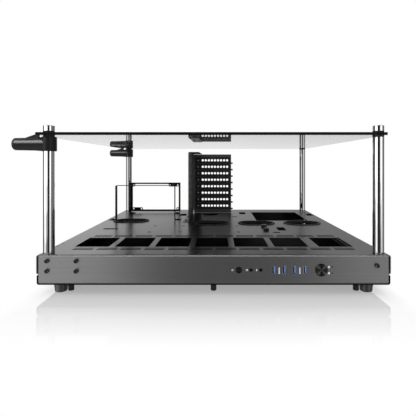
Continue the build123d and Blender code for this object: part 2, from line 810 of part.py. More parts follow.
def usb_insert(x):
    """Moulded insert of a USB socket: a block at the back that carries the tongue."""
    block = Rectangle(usb_w - 2 * usb_wall - slip, usb_h - 2 * usb_wall - slip)
    block_y = card_y - usb_block_d
    insert = extrude(facing_front(block_y) * Pos(x, io_z) * block, -usb_block_d)
    tongue = Pos(x + tongue_off, io_z) * Rectangle(tongue_t, tongue_h)
    return insert + extrude(facing_front(tongue_setback) * tongue, tongue_setback - block_y)


def audio_jack(x):
    """Jack socket: a round barrel through the face and a block on the board, bored through."""
    barrel = rod_back(jack_r, x, io_z, jack_setback, jack_barrel)
    block = Pos(x, io_z) * RectangleRounded(jack_body, jack_body, jack_setback)
    body = extrude(facing_front(jack_barrel) * block, jack_barrel - card_y)
    return barrel + body - rod_back(jack_bore_r, x, io_z, jack_setback, card_y - sheet)


def lamp_lens(z):
    """Clear light pipe from the board to the face."""
    return rod_back(lens_r, lens_x, z, 0, card_y)


def button(x, r, proud, stem_r, travel):
    """Push button: a cap through the face, a rim that holds it in, and a stem towards its switch."""
    rim_y = sheet + button_play
    stem_y = rim_y + button_rim_t
    tip_y = card_y - switch_d - plunger_d - travel - button_play
    cap = rod_back(r, x, io_z, -proud, rim_y)
    cap = chamfer(cap.edges().group_by(Axis.Y)[0], button_edge)
    return cap + rod_back(r + button_rim, x, io_z, rim_y, stem_y) + rod_back(stem_r, x, io_z, stem_y, tip_y)


def switch(x, width):
    """Push switch on the board, with its plunger behind the button's stem."""
    block = Pos(x, io_z) * RectangleRounded(width, width, button_edge)
    body = extrude(facing_front(card_y - switch_d) * block, -switch_d)
    return body + rod_back(plunger_r, x, io_z, card_y - switch_d - plunger_d, card_y - switch_d)


def nodes():
    """Every node of the bench by name."""
    made = {"deck_panel": deck_panel(), "bottom_pan": bottom_pan(), "glass_panel": glass_panel()}
    corners = ("front_left", "rear_left", "front_right", "rear_right")
    for corner, place, foot_place in zip(corners, post_places, foot_places):
        made["post_" + corner] = post(*place)
        made["post_cap_" + corner] = post_cap(*place)
        made["foot_" + corner] = foot(*foot_place)
    made["post_bolts"] = group(post_bolt(*place) for place in post_places)
    made["lower_washers"] = group(low_washer(*place) for place in post_places)
    made["upper_washers"] = group(top_washer(*place) for place in post_places)
    made["foot_screws"] = group(foot_screw(*place) for place in foot_places)
    made["pan_thumbscrews"] = group(pan_screw(*place) for place in pan_screw_places)
    for name, y in zip(("front", "rear"), post_ys):
        made["stand_clamp_" + name] = stand_clamp(y)
        made["stand_pad_" + name] = stand_pad(y)
    made["clamp_screws"] = group(clamp_grub(y) for y in post_ys)
    for name, place in ovals.items():
        made[name] = grommet(*place)
    made["deck_thumbscrews"] = group(deck_screw(*place) for place in deck_screw_places())
    made["expansion_bracket"] = expansion_bracket()
    for number, z in enumerate(slot_zs, 1):
        made[f"slot_cover_{number}"] = slot_cover(z)
    made["slot_screws"] = group(slot_screw(z) for z in slot_zs)
    made["bracket_screws"] = group(deck_bound_screw(x, y, sheet) for x, y in bracket_screw_places())
    made["psu_frame"] = psu_frame()
    made["psu_strap"] = psu_strap()
    cradle = zip(cradle_screw_places(), (sheet, sheet, strap_t, strap_t))
    made["psu_screws"] = group(deck_bound_screw(x, y, thick) for (x, y), thick in cradle)
    made["stand_screws"] = group(stand_screw(*place) for place in stand_places)
    made["io_bracket"] = io_bracket()
    made["io_board"] = io_board()
    made["io_screws"] = group(io_screw(*place) for place in io_screw_places)
    for number, x in enumerate(usb_xs, 1):
        made[f"usb_shell_{number}"] = usb_shell(x)
    made["usb_inserts"] = group(usb_insert(x) for x in usb_xs)
    for number, x in enumerate(jack_xs, 1):
        made[f"audio_jack_{number}"] = audio_jack(x)
    made["lamp_lenses"] = group(lamp_lens(z) for z in lens_zs)
    made["power_button"] = button(power_x, power_r, power_proud, power_stem_r, power_travel)
    made["power_switch"] = switch(power_x, power_switch_w)
    made["reset_button"] = button(reset_x, reset_r, reset_proud, reset_stem_r, reset_travel)
    made["reset_switch"] = switch(reset_x, reset_switch_w)
    return made


# The origin is on the floor under the middle of the whole bench, stand arms and screw heads included
origin_x = (half_w - post_x - arm_len - pad_t) / 2
origin_y = (tray_d - stand_screw_head_h) / 2
os.makedirs("parts", exist_ok=True)
for name, solid in nodes().items():
    export_step(Pos(-origin_x, -origin_y, 0) * solid, f"parts/{name}.step")
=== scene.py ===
import json
import math

import bmesh
import bpy
from mathutils import Matrix, Vector

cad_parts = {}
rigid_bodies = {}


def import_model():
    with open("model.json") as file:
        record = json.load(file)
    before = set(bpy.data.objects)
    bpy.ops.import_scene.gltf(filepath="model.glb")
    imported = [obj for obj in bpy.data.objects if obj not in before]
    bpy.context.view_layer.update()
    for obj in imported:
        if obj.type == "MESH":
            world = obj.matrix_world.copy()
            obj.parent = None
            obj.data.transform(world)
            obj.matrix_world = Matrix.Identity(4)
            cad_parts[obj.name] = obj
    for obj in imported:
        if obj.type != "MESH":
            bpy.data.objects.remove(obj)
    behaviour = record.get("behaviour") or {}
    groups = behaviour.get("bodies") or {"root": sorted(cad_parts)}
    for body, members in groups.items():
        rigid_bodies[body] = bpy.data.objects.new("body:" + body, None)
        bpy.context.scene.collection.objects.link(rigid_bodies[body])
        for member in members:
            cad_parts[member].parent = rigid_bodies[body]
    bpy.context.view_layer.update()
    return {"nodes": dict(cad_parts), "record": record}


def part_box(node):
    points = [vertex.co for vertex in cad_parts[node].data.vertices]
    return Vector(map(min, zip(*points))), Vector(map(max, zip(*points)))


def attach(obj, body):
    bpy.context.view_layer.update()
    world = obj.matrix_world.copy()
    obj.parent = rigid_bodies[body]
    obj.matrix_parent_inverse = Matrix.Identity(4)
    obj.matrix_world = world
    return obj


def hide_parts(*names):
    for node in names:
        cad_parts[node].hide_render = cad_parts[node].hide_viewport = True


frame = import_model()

# Open air test bench on a white studio floor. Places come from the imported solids, in metres;
# profiles and outlines of the pieces are in mm.
MM = 0.001
CHASSIS = "chassis"
SIDES = ("left", "right")
CORNERS = ("front_left", "rear_left", "front_right", "rear_right")
USB_SHELLS = [f"usb_shell_{number}" for number in range(1, 5)]
scene = bpy.context.scene
nodes = frame["nodes"]
front_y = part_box("deck_panel")[0].y


# Materials

NOISE_RANGE = (0.3, 0.7)    # holds nearly all of a noise's values
PATCHES = 9.0               # drifts of colour a metre


def rgba(tone):
    """Colour with full alpha from a grey level or from red, green and blue."""
    return (*tone, 1.0) if isinstance(tone, tuple) else (tone, tone, tone, 1.0)


def set_inputs(made, **inputs):
    """Set a node's input sockets by name, underscores standing for spaces."""
    for key, value in inputs.items():
        made.inputs[key.replace("_", " ")].default_value = value
    return made


def node(tree, kind, **inputs):
    """New node with its input sockets set."""
    return set_inputs(tree.nodes.new(kind), **inputs)


def shader(name):
    """New node material: the material, its node tree and its main shader."""
    material = bpy.data.materials.new("look_" + name)
    material.use_nodes = True
    tree = material.node_tree
    return material, tree, tree.nodes["Principled BSDF"]


def place_coordinates(tree):
    """Position on the object in metres, the same on every side."""
    return tree.nodes.new("ShaderNodeTexCoord").outputs["Object"]


def place_axes(tree):
    """Position on the object in metres, as outputs X, Y and Z."""
    split = tree.nodes.new("ShaderNodeSeparateXYZ")
    tree.links.new(place_coordinates(tree), split.inputs["Vector"])
    return split.outputs


def noise(tree, scale, detail=3.0):
    """Noise over the object, with its scale in cells a metre."""
    made = node(tree, "ShaderNodeTexNoise", Scale=scale, Detail=detail)
    tree.links.new(place_coordinates(tree), made.inputs["Vector"])
    return made.outputs["Fac"]


def drawn_noise(tree, scale):
    """Noise with a scale of its own along each axis, in cells a metre."""
    squeeze = node(tree, "ShaderNodeMapping", Scale=scale)
    lines = node(tree, "ShaderNodeTexNoise", Scale=1.0, Detail=2.0)
    tree.links.new(place_coordinates(tree), squeeze.inputs["Vector"])
    tree.links.new(squeeze.outputs["Vector"], lines.inputs["Vector"])
    return lines.outputs["Fac"]


def ranged(tree, source, start, end, low=0.0, high=1.0):
    """Source from start to end as a value from low to high."""
    made = node(tree, "ShaderNodeMapRange", From_Min=start, From_Max=end, To_Min=low, To_Max=high)
    tree.links.new(source, made.inputs["Value"])
    return made.outputs["Result"]


def spread(tree, source, low, high):
    """Noise as a value from low to high."""
    return ranged(tree, source, *NOISE_RANGE, low, high)


def tint(tree, source, low, high):
    """Noise as a colour from low to high, each a grey level or a colour."""
    ramp = tree.nodes.new("ShaderNodeValToRGB")
    for element, place, tone in zip(list(ramp.color_ramp.elements), NOISE_RANGE, (low, high)):
        element.position = place
        element.color = rgba(tone)
    tree.links.new(source, ramp.inputs["Fac"])
    return ramp.outputs["Color"]


def relief(tree, main, source, strength, depth):
    """Bump of the main shader from a source, its depth in mm."""
    made = node(tree, "ShaderNodeBump", Strength=strength, Distance=depth * MM)
    tree.links.new(source, made.inputs["Height"])
    tree.links.new(made.outputs["Normal"], main.inputs["Normal"])


def brushed(tree, main, axis, strength, turn=0.0):
    """Brushing around an axis, which draws the shine out along it or, turned, across it."""
    around = tree.nodes.new("ShaderNodeTangent")
    around.direction_type = "RADIAL"
    around.axis = axis
    tree.links.new(around.outputs["Tangent"], main.inputs["Tangent"])
    set_inputs(main, Anisotropic=strength, Anisotropic_Rotation=turn)


def surface(name, low, high, rough, grain, strength, depth, metal=0.0, specular=0.5):
    """Material whose tone and roughness drift, with a fine grain in cells a metre and mm of depth."""
    material, tree, main = shader(name)
    tree.links.new(tint(tree, noise(tree, PATCHES), low, high), main.inputs["Base Color"])
    tree.links.new(spread(tree, noise(tree, 4 * PATCHES), *rough), main.inputs["Roughness"])
    relief(tree, main, noise(tree, grain, 2.0), strength, depth)
    set_inputs(main, Metallic=metal, Specular_IOR_Level=specular)
    return material


def turned_metal():
    """Bright ground steel with a slow change along its length."""
    material, tree, main = shader("bright_steel")
    lines = drawn_noise(tree, (25.0, 25.0, 60.0))
    tree.links.new(tint(tree, lines, 0.74, 0.8), main.inputs["Base Color"])
    tree.links.new(spread(tree, lines, 0.03, 0.06), main.inputs["Roughness"])
    set_inputs(main, Metallic=1.0)
    return material


def brushed_disc():
    """Black metal brushed in circles about the piece's own Z axis."""
    material, tree, main = shader("button_black")
    rings = node(tree, "ShaderNodeTexWave", Scale=1400.0, Distortion=2.0, Detail=2.0)
    rings.wave_type = "RINGS"
    rings.rings_direction = "Z"
    tree.links.new(place_coordinates(tree), rings.inputs["Vector"])
    tree.links.new(tint(tree, rings.outputs["Fac"], 0.035, 0.055), main.inputs["Base Color"])
    tree.links.new(spread(tree, rings.outputs["Fac"], 0.42, 0.46), main.inputs["Roughness"])
    set_inputs(main, Metallic=1.0)
    brushed(tree, main, "Z", 1.0, 0.25)
    return material


def smoked_glass():
    """Dark plate glass with a very faint cloud in its tint."""
    material, tree, main = shader("smoked_glass")
    tree.links.new(tint(tree, noise(tree, 6.0), 0.15, 0.17), main.inputs["Base Color"])
    set_inputs(main, Roughness=0.0, Transmission_Weight=1.0, IOR=1.6)
    return material


def folded_sheet():
    """Black sheet brushed from side to side, its front face duller than its top."""
    material, tree, main = shader("black_sheet")
    lines = drawn_noise(tree, (4.0, 700.0, 700.0))
    tree.links.new(tint(tree, lines, 0.135, 0.15), main.inputs["Base Color"])
    fold_start, fold_end = front_y + 1.5 * MM, front_y + 4.0 * MM
    dull = ranged(tree, place_axes(tree)["Y"], fold_start, fold_end, 0.42, 0.28)
    tree.links.new(dull, main.inputs["Roughness"])
    set_inputs(main, Metallic=1.0)
    brushed(tree, main, "X", 0.5)
    return material


def painted_socket_shade(name, front, depths, near, far, rough, metal):
    """Material with painted shade: it turns from one tone at a socket's front to a dark one, between two
    depths in mm, the dark one standing for the shade inside the socket.
    """
    material, tree, main = shader(name)
    start, end = (front + depth * MM for depth in depths)
    depth = ranged(tree, place_axes(tree)["Y"], start, end, *NOISE_RANGE)
    tree.links.new(tint(tree, depth, near, far), main.inputs["Base Color"])
    tree.links.new(spread(tree, noise(tree, 400.0), *rough), main.inputs["Roughness"])
    set_inputs(main, Metallic=metal)
    return material


# Each surface: tones, roughness, grain and its strength and depth, then metal and specular level.
black_coat = surface("black_steel", 0.012, 0.018, (0.3, 0.38), 1500.0, 0.06, 0.03)
black_pan = surface("black_pan", 0.008, 0.012, (0.8, 0.9), 900.0, 0.05, 0.03, 0.0, 0.05)
black_matte = surface("black_matte", 0.006, 0.01, (0.6, 0.7), 1500.0, 0.06, 0.03, 0.0, 0.1)
bracket_coat = surface("bracket_coat", 0.044, 0.054, (0.32, 0.4), 1500.0, 0.06, 0.03)
black_cast = surface("black_cast", 0.008, 0.012, (0.3, 0.36), 900.0, 0.08, 0.03, 0.0, 0.22)
black_screw = surface("black_screw", 0.02, 0.045, (0.25, 0.4), 2500.0, 0.1, 0.03, 0.6)
slot_nickel = surface("slot_nickel", 0.6, 0.7, (0.28, 0.36), 2500.0, 0.08, 0.02, 1.0)
black_rubber = surface("black_rubber", 0.012, 0.022, (0.5, 0.66), 1200.0, 0.2, 0.06, 0.0, 0.15)
foot_rubber = surface("foot_rubber", 0.008, 0.014, (0.3, 0.38), 1200.0, 0.15, 0.05)
black_plastic = surface("black_plastic", 0.01, 0.018, (0.35, 0.5), 1500.0, 0.15, 0.04, 0.0, 0.15)
board_green = surface("board_laminate", (0.01, 0.06, 0.03), (0.015, 0.09, 0.045), (0.3, 0.4),
                      700.0, 0.1, 0.04)
gold = surface("contact_gold", (0.75, 0.5, 0.18), (0.85, 0.6, 0.25), (0.2, 0.3),
               2500.0, 0.05, 0.02, 1.0)
lens_clear = surface("lens_clear", 0.006, 0.012, (0.1, 0.18), 900.0, 0.05, 0.02)
white_print = surface("white_print", 0.78, 0.86, (0.4, 0.5), 2000.0, 0.05, 0.01)
glass_edge = surface("glass_edge", 0.004, 0.008, (0.3, 0.4), 300.0, 0.0, 0.05, 0.0, 0.08)
bright_steel = turned_metal()
button_black = brushed_disc()
glass = smoked_glass()
# Painted shade: the shell's inside and the tongue's sides darken with depth in their colour, standing
# for the shade inside each socket.
shell_steel = painted_socket_shade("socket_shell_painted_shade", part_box("usb_shell_1")[0].y, (0.2, 0.5),
                            0.6, 0.01, (0.32, 0.42), 1.0)
tongue_blue = painted_socket_shade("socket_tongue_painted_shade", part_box("usb_inserts")[0].y, (0.1, 0.6),
                            (0.14, 0.34, 0.82), (0.004, 0.008, 0.02), (0.3, 0.4), 0.0)

slot_finish = {"black_steel": black_coat, "bright_steel": bright_steel, "smoked_glass": glass,
               "black_rubber": black_rubber, "black_cast": black_cast, "black_screw": black_screw,
               "socket_steel": shell_steel, "blue_plastic": tongue_blue,
               "black_plastic": black_plastic, "button_black": button_black,
               "lens_clear": lens_clear, "board_laminate": board_green}
node_finish = {"deck_panel": folded_sheet(), "bottom_pan": black_pan,
               "expansion_bracket": bracket_coat, "psu_frame": black_matte, "psu_strap": black_matte}
for entry in frame["record"]["subparts"]:
    name, slot = entry["node"], entry["material_slot"]
    mesh = nodes[name].data
    mesh.materials.clear()
    mesh.materials.append(node_finish.get(name, slot_finish[slot]))


# Mesh helpers

def piece(name, mesh, material, place, body=CHASSIS, smooth=40.0):
    """Mesh as a piece at a place, riding on a body, smooth up to an angle."""
    if not mesh.materials:
        mesh.materials.append(material)
    mesh.shade_smooth()
    mesh.set_sharp_from_angle(angle=math.radians(smooth))
    made = bpy.data.objects.new(name, mesh)
    made.matrix_world = place
    scene.collection.objects.link(made)
    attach(made, body)
    return made


def at(x, y, z):
    return Matrix.Translation((x, y, z))


def middle(low, high):
    return (low + high) / 2


def on_axis(low, high, z):
    """Place on a box's upright axis at a height."""
    centre = middle(low, high)
    return at(centre.x, centre.y, z)


facing_front = Matrix.Rotation(math.radians(90.0), 4, "X")


def softened(points, r, steps=3):
    """Profile with each inner corner rounded by up to r, and by less on short runs."""
    made = [points[0]]
    for before, corner, after in zip(points, points[1:], points[2:]):
        a, b, c = Vector(before), Vector(corner), Vector(after)
        reach = min(r, (a - b).length * 0.45, (c - b).length * 0.45)
        start = b + (a - b).normalized() * reach
        end = b + (c - b).normalized() * reach
        for i in range(steps + 1):
            t = i / steps
            made.append(tuple(start * (1 - t) ** 2 + b * 2 * t * (1 - t) + end * t ** 2))
    made.append(points[-1])
    return made


def lathe(name, profile, steps=96, flutes=None, flute=0.0):
    """Turned mesh about Z from (radius, height) points; heights inside flutes get straight flutes."""
    body = bmesh.new()
    rings = []
    for r, h in profile:
        if r < 1e-6:
            rings.append([body.verts.new((0, 0, h * MM))])
            continue
        cut = flute if flutes and flutes[0] <= h <= flutes[1] else 0.0
        ring = []
        for k in range(steps):
            turn = 2 * math.pi * k / steps
            here = (r - cut * (k % 2)) * MM
            ring.append(body.verts.new((here * math.cos(turn), here * math.sin(turn), h * MM)))
        rings.append(ring)
    for low, high in zip(rings, rings[1:]):
        for k in range(steps):
            j = (k + 1) % steps
            corners = [low[k % len(low)], low[j % len(low)], high[j % len(high)], high[k % len(high)]]
            unique = list(dict.fromkeys(corners))
            if len(unique) > 2:
                body.faces.new(unique)
    bmesh.ops.recalc_face_normals(body, faces=body.faces)
    mesh = bpy.data.meshes.new(name)
    body.to_mesh(mesh)
    body.free()
    return mesh


def flat(name, loops, depth, bevel):
    """Plate from closed loops of (x, y) points, the first its outline, with eased edges."""
    curve = bpy.data.curves.new(name, "CURVE")
    curve.dimensions = "2D"
    curve.fill_mode = "BOTH"
    curve.extrude = (depth / 2 - bevel) * MM
    curve.bevel_depth = bevel * MM
    curve.bevel_resolution = 2
    curve.offset = -bevel * MM
    for loop in loops:
        spline = curve.splines.new("POLY")
        spline.points.add(len(loop) - 1)
        for point, (x, y) in zip(spline.points, loop):
            point.co = (x * MM, y * MM, 0, 1)
        spline.use_cyclic_u = True
    carrier = bpy.data.objects.new(name, curve)
    mesh = bpy.data.meshes.new_from_object(carrier)
    bpy.data.objects.remove(carrier)
    bpy.data.curves.remove(curve)
    return mesh


def rounded(w, h, r, steps=6):
    """Loop of a rounded rectangle."""
    loop = []
    for cx, cy, start in ((1, 1, 0), (-1, 1, 90), (-1, -1, 180), (1, -1, 270)):
        for i in range(steps + 1):
            turn = math.radians(start + 90 * i / steps)
            x = cx * (w / 2 - r) + r * math.cos(turn)
            y = cy * (h / 2 - r) + r * math.sin(turn)
            loop.append((x, y))
    return loop


def circle(r, x=0.0, y=0.0, steps=24):
    """Loop of a circle."""
    turns = [2 * math.pi * i / steps for i in range(steps)]
    return [(x + r * math.cos(t), y + r * math.sin(t)) for t in turns]


def solids_of(name):
    """Lowest and highest corner of each separate solid in a CAD node."""
    mesh = nodes[name].data
    spot = {}
    link = list(range(len(mesh.vertices)))

    def root(i):
        while link[i] != i:
            link[i] = link[link[i]]
            i = link[i]
        return i

    for v in mesh.vertices:
        key = tuple(round(c * 1e5) for c in v.co)
        link[root(v.index)] = root(spot.setdefault(key, v.index))
    for edge in mesh.edges:
        link[root(edge.vertices[0])] = root(edge.vertices[1])
    found = {}
    for v in mesh.vertices:
        found.setdefault(root(v.index), []).append(v.co)
    boxes = []
    for points in found.values():
        low = Vector([min(p[i] for p in points) for i in range(3)])
        high = Vector([max(p[i] for p in points) for i in range(3)])
        boxes.append((low, high))
    return sorted(boxes, key=lambda b: tuple(round(c, 5) for c in b[0]))


def copies(name, node_name, mesh, material, spot):
    """Like pieces over every solid of a group node, the first of them standing for the node."""
    for number, (low, high) in enumerate(solids_of(node_name), 1):
        made = piece(f"{name}_{number}", mesh, material, spot(low, high))
        if number == 1:
            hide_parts(node_name)


# Bright posts and caps. Points in line with the sides, near their ends, keep the shading straight.

POST_HOLD, CAP_HOLD = 1.5, 1.2
CAP_EDGE = 0.9
RECESS_TOP_R, RECESS_R, RECESS_DEPTH = 3.2, 2.6, 2.0

post_low, post_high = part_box("post_front_left")
post_r = (post_high.x - post_low.x) / 2 / MM
post_h = (post_high.z - post_low.z) / MM
post_line = [(0, 0), (post_r, 0), (post_r, POST_HOLD), (post_r, post_h - POST_HOLD),
             (post_r, post_h), (0, post_h)]
post_mesh = lathe("post_bar", softened(post_line, 0.5))
washer_top = max(high.z for low, high in solids_of("upper_washers"))
cap_h = (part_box("post_cap_front_left")[1].z - washer_top) / MM
cap_line = [(0, 0), (post_r, 0), (post_r, CAP_HOLD), (post_r, cap_h - CAP_EDGE - CAP_HOLD),
            (post_r, cap_h - CAP_EDGE), (post_r - CAP_EDGE, cap_h), (RECESS_TOP_R, cap_h),
            (RECESS_R, cap_h - RECESS_DEPTH), (0, cap_h - RECESS_DEPTH)]
cap_mesh = lathe("post_top", softened(cap_line, 0.35))
for corner in CORNERS:
    low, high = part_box("post_" + corner)
    bar = piece("bar_" + corner, post_mesh, bright_steel, on_axis(low, high, low.z))
    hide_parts("post_" + corner)
    cap = piece("cap_" + corner, cap_mesh, bright_steel, on_axis(low, high, washer_top))
    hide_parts("post_cap_" + corner)


# Glass sheet

GLASS_CORNER_R = 5.0
GLASS_HOLE_R = 6.0
GLASS_EASE = 0.5


def glass_sheet():
    """Sheet with eased edges and a hole at each post."""
    low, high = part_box("glass_panel")
    centre = middle(low, high)
    size = (high - low) / MM
    loops = [rounded(size.x, size.y, GLASS_CORNER_R, 8)]
    for corner in CORNERS:
        post = middle(*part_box("post_" + corner))
        x, y = (post.x - centre.x) / MM, (post.y - centre.y) / MM
        loops.append(circle(GLASS_HOLE_R, x, y, 32)[::-1])
    mesh = flat("glass_sheet", loops, size.z, GLASS_EASE)
    mesh.materials.append(glass)
    mesh.materials.append(glass_edge)
    for face in mesh.polygons:
        face.material_index = 0 if abs(face.normal.z) > 0.95 else 1
    made = piece("glass_sheet", mesh, glass, at(*centre), smooth=20.0)
    made.visible_diffuse = False
    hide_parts("glass_panel")


glass_sheet()


# Feet and gripped screws

FOOT_BORE = (5.5, 6.0)
KNOB_H = 6.0
FLUTE = 0.35

foot_low, foot_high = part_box("foot_front_left")
foot_h = (foot_high.z - foot_low.z) / MM
foot_line = [(0, FOOT_BORE[1]), FOOT_BORE, (FOOT_BORE[0], 0), (9.0, 0), (10.5, 1.5),
             (11.2, foot_h * 0.55), (11.45, foot_h * 0.58), (12.0, foot_h), (0, foot_h)]
foot_mesh = lathe("foot_block", softened(foot_line, 0.7))
for corner in CORNERS:
    low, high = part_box("foot_" + corner)
    foot = piece("rubber_foot_" + corner, foot_mesh, foot_rubber, on_axis(low, high, 0))
    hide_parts("foot_" + corner)

grip_line = [(0, 0), (4.2, 0), (5.0, 0.8), (5.0, 4.6), (4.5, 5.0), (5.0, 5.4), (5.0, 9.2), (4.2, 10.0),
             (3.6, 10.0), (3.6, 13.0), (2.0, 13.0), (2.0, 22.0), (0, 22.0)]
grip_mesh = lathe("grip_screw", softened(grip_line, 0.25, 2), 72, (0.6, 9.4), FLUTE)
copies("pan_screw", "pan_thumbscrews", grip_mesh, black_screw,
       lambda low, high: on_axis(low, high, low.z))
knurl_line = [(0, -9.5), (2.5, -9.5), (2.5, 0), (5.8, 0), (6.5, 0.7), (6.5, 5.2), (5.7, KNOB_H),
              (2.8, KNOB_H), (2.4, 5.0), (0, 5.0)]
knurl_mesh = lathe("deck_knob", softened(knurl_line, 0.25, 2), 96, (0.5, 5.4), FLUTE)
copies("deck_knob", "deck_thumbscrews", knurl_mesh, black_screw,
       lambda low, high: on_axis(low, high, high.z - KNOB_H * MM))


# Cross-head screws

HEAD_R, HEAD_H = 3.4, 2.4
SHANK_R, SHANK_L = 1.9, 6.0


def driven_screw(name, r, h, shank_r, length):
    """Pan-head screw along Z with a cross recess, its seat at zero."""
    line = [(0, -length), (shank_r, -length), (shank_r, 0), (r, 0), (r, h * 0.45),
            (r * 0.72, h * 0.9), (0, h)]
    mesh = lathe(name, softened(line, 0.5, 4), 40)
    cutter = bmesh.new()
    size = Matrix.Diagonal((r * 1.15 * MM, r * 0.26 * MM, h * 1.1 * MM, 1.0))
    for turn in (0.0, 90.0):
        spot = at(0, 0, h * MM) @ Matrix.Rotation(math.radians(turn), 4, "Z") @ size
        bmesh.ops.create_cube(cutter, size=1.0, matrix=spot)
    cross = bpy.data.meshes.new(name + "_cross")
    cutter.to_mesh(cross)
    cutter.free()
    head = bpy.data.objects.new(name, mesh)
    tool = bpy.data.objects.new(name + "_cross", cross)
    scene.collection.objects.link(head)
    scene.collection.objects.link(tool)
    cut = head.modifiers.new("cross", "BOOLEAN")
    cut.object = tool
    cut.use_self = True
    bpy.context.view_layer.update()
    made = bpy.data.meshes.new_from_object(head.evaluated_get(bpy.context.evaluated_depsgraph_get()))
    bpy.data.objects.remove(head)
    bpy.data.objects.remove(tool)
    return made


def slot_spot(low, high):
    """Place of a slot screw, its head to the front."""
    centre = middle(low, high)
    return at(centre.x, low.y + HEAD_H * MM, centre.z) @ facing_front


pan_head = driven_screw("pan_head", HEAD_R, HEAD_H, SHANK_R, SHANK_L)
slot_head = pan_head.copy()
for group in ("bracket_screws", "psu_screws"):
    copies(group[:-1], group, pan_head, black_screw,
           lambda low, high: on_axis(low, high, high.z - HEAD_H * MM))
copies("slot_screw", "slot_screws", slot_head, slot_nickel, slot_spot)


# Push buttons

COLLAR, COLLAR_T = 1.8, 1.2    # the hidden collar: how far it stands out, and its thickness
COLLAR_GAP = 1.7               # from the face of the sheet in to the collar
BUTTON_EDGE = 0.5


def press(name, node_name, body, proud, dish):
    """Button with a shallow dished face, eased rim and its stem, turned about the line it travels on."""
    low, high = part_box(node_name)
    centre = middle(low, high)
    rim = (high.x - low.x) / 2 / MM
    cap_r = rim - COLLAR
    stem_r = cap_r * 0.3
    deep = (high.y - low.y) / MM
    seat = proud + COLLAR_GAP
    line = [(0, -dish), (cap_r * 0.5, -dish * 0.75), (cap_r * 0.86, 0), (cap_r - BUTTON_EDGE, 0),
            (cap_r, -BUTTON_EDGE), (cap_r, -seat), (rim, -seat), (rim, -seat - COLLAR_T),
            (stem_r, -seat - COLLAR_T), (stem_r, -deep), (0, -deep)]
    mesh = lathe(name, softened(line, 0.25))
    made = piece(name, mesh, button_black, at(centre.x, low.y, centre.z) @ facing_front, body)
    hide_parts(node_name)


press("power_cap", "power_button", "power_button", 1.5, 0.5)
press("reset_cap", "reset_button", "reset_button", 0.8, 0.35)


# Printed marks beside the ports: plain pictures

PRINT_T, PRINT_EASE = 0.06, 0.005
RESET_STEP, JACK_STEP, LAMP_STEP = 11.0, 7.0, 4.2    # how far a mark stands to the left of its port


def mark(name, loops, x, z):
    """Thin white print on the front face, its loops in mm about x and z in metres."""
    mesh = flat(name, loops, PRINT_T, PRINT_EASE)
    place = at(x, front_y - PRINT_T / 2 * MM, z) @ facing_front
    piece(name, mesh, white_print, place)


def port_marks():
    """A mark beside each jack, button, lamp and pair of sockets."""
    reset = middle(*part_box("reset_button"))
    mark("mark_reset", [circle(1.6), circle(1.0)[::-1]], reset.x - RESET_STEP * MM, reset.z)
    jack_loops = ([circle(1.7), circle(0.9, 0, -0.5)[::-1]], [rounded(1.6, 3.4, 0.75)])
    for number, loops in enumerate(jack_loops, 1):
        jack = middle(*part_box(f"audio_jack_{number}"))
        mark(f"mark_jack_{number}", loops, jack.x - JACK_STEP * MM, reset.z)
    for first, second in ((1, 2), (3, 4)):
        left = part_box(f"usb_shell_{first}")[1].x
        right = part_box(f"usb_shell_{second}")[0].x
        loops = [rounded(1.6, 9.0, 0.7), circle(1.3, 0, -5.0)]
        mark(f"mark_usb_{first}", loops, (left + right) / 2, reset.z)
    lamp_loops = ([rounded(3.0, 3.4, 0.9)], [circle(1.8), circle(0.6)[::-1]])
    for number, (loops, (low, high)) in enumerate(zip(lamp_loops, solids_of("lamp_lenses")), 1):
        mark(f"mark_lamp_{number}", loops, low.x - LAMP_STEP * MM, middle(low, high).z)


port_marks()


# Socket contacts

TONGUE_X, TONGUE_HALF = 1.1, 0.95     # the tongue's middle from the socket's, and half its thickness
CONTACTS, CONTACT_PITCH = 4, 2.4
CONTACT_SIZE = (0.12, 8.0, 1.0)
CONTACT_SINK, CONTACT_Y = 0.04, 5.0


def contacts():
    """Row of gilt contacts on each socket's tongue."""
    for number, (low, high) in enumerate(solids_of("usb_inserts"), 1):
        centre = middle(low, high)
        tongue_side = centre.x + (TONGUE_X - TONGUE_HALF) * MM
        size = Matrix.Diagonal((*(side * MM for side in CONTACT_SIZE), 1.0))
        body = bmesh.new()
        for k in range(CONTACTS):
            z = centre.z + (k - (CONTACTS - 1) / 2) * CONTACT_PITCH * MM
            spot = at(tongue_side - CONTACT_SINK * MM, low.y + CONTACT_Y * MM, z)
            bmesh.ops.create_cube(body, size=1.0, matrix=spot @ size)
        mesh = bpy.data.meshes.new(f"contacts_{number}")
        body.to_mesh(mesh)
        body.free()
        piece(f"contacts_{number}", mesh, gold, Matrix.Identity(4))


contacts()


# Studio floor

FLOOR_HALF = 8.0
FLOOR_GLOW = 0.36
MIRROR_FAR, MIRROR_NEAR = 75.0, 45.0    # in front of the bench, where the mirror grows to full
FADE_START = (0.29, 0.36)               # from the tray's middle across and along, still floor
FADE_END = (0.32, 0.47)                 # the same, plain white


def blend(tree, factor, first, second):
    """One of two shaders, or part of each, by a factor."""
    both = tree.nodes.new("ShaderNodeMixShader")
    for socket, source in zip(both.inputs, (factor, first, second)):
        tree.links.new(source, socket)
    return both.outputs["Shader"]


def math_node(tree, operation, first, second=None):
    """Math node on a source and, where there is one, a second source or number."""
    made = tree.nodes.new("ShaderNodeMath")
    made.operation = operation
    tree.links.new(first, made.inputs[0])
    if isinstance(second, float):
        made.inputs[1].default_value = second
    elif second is not None:
        tree.links.new(second, made.inputs[1])
    return made.outputs[0]


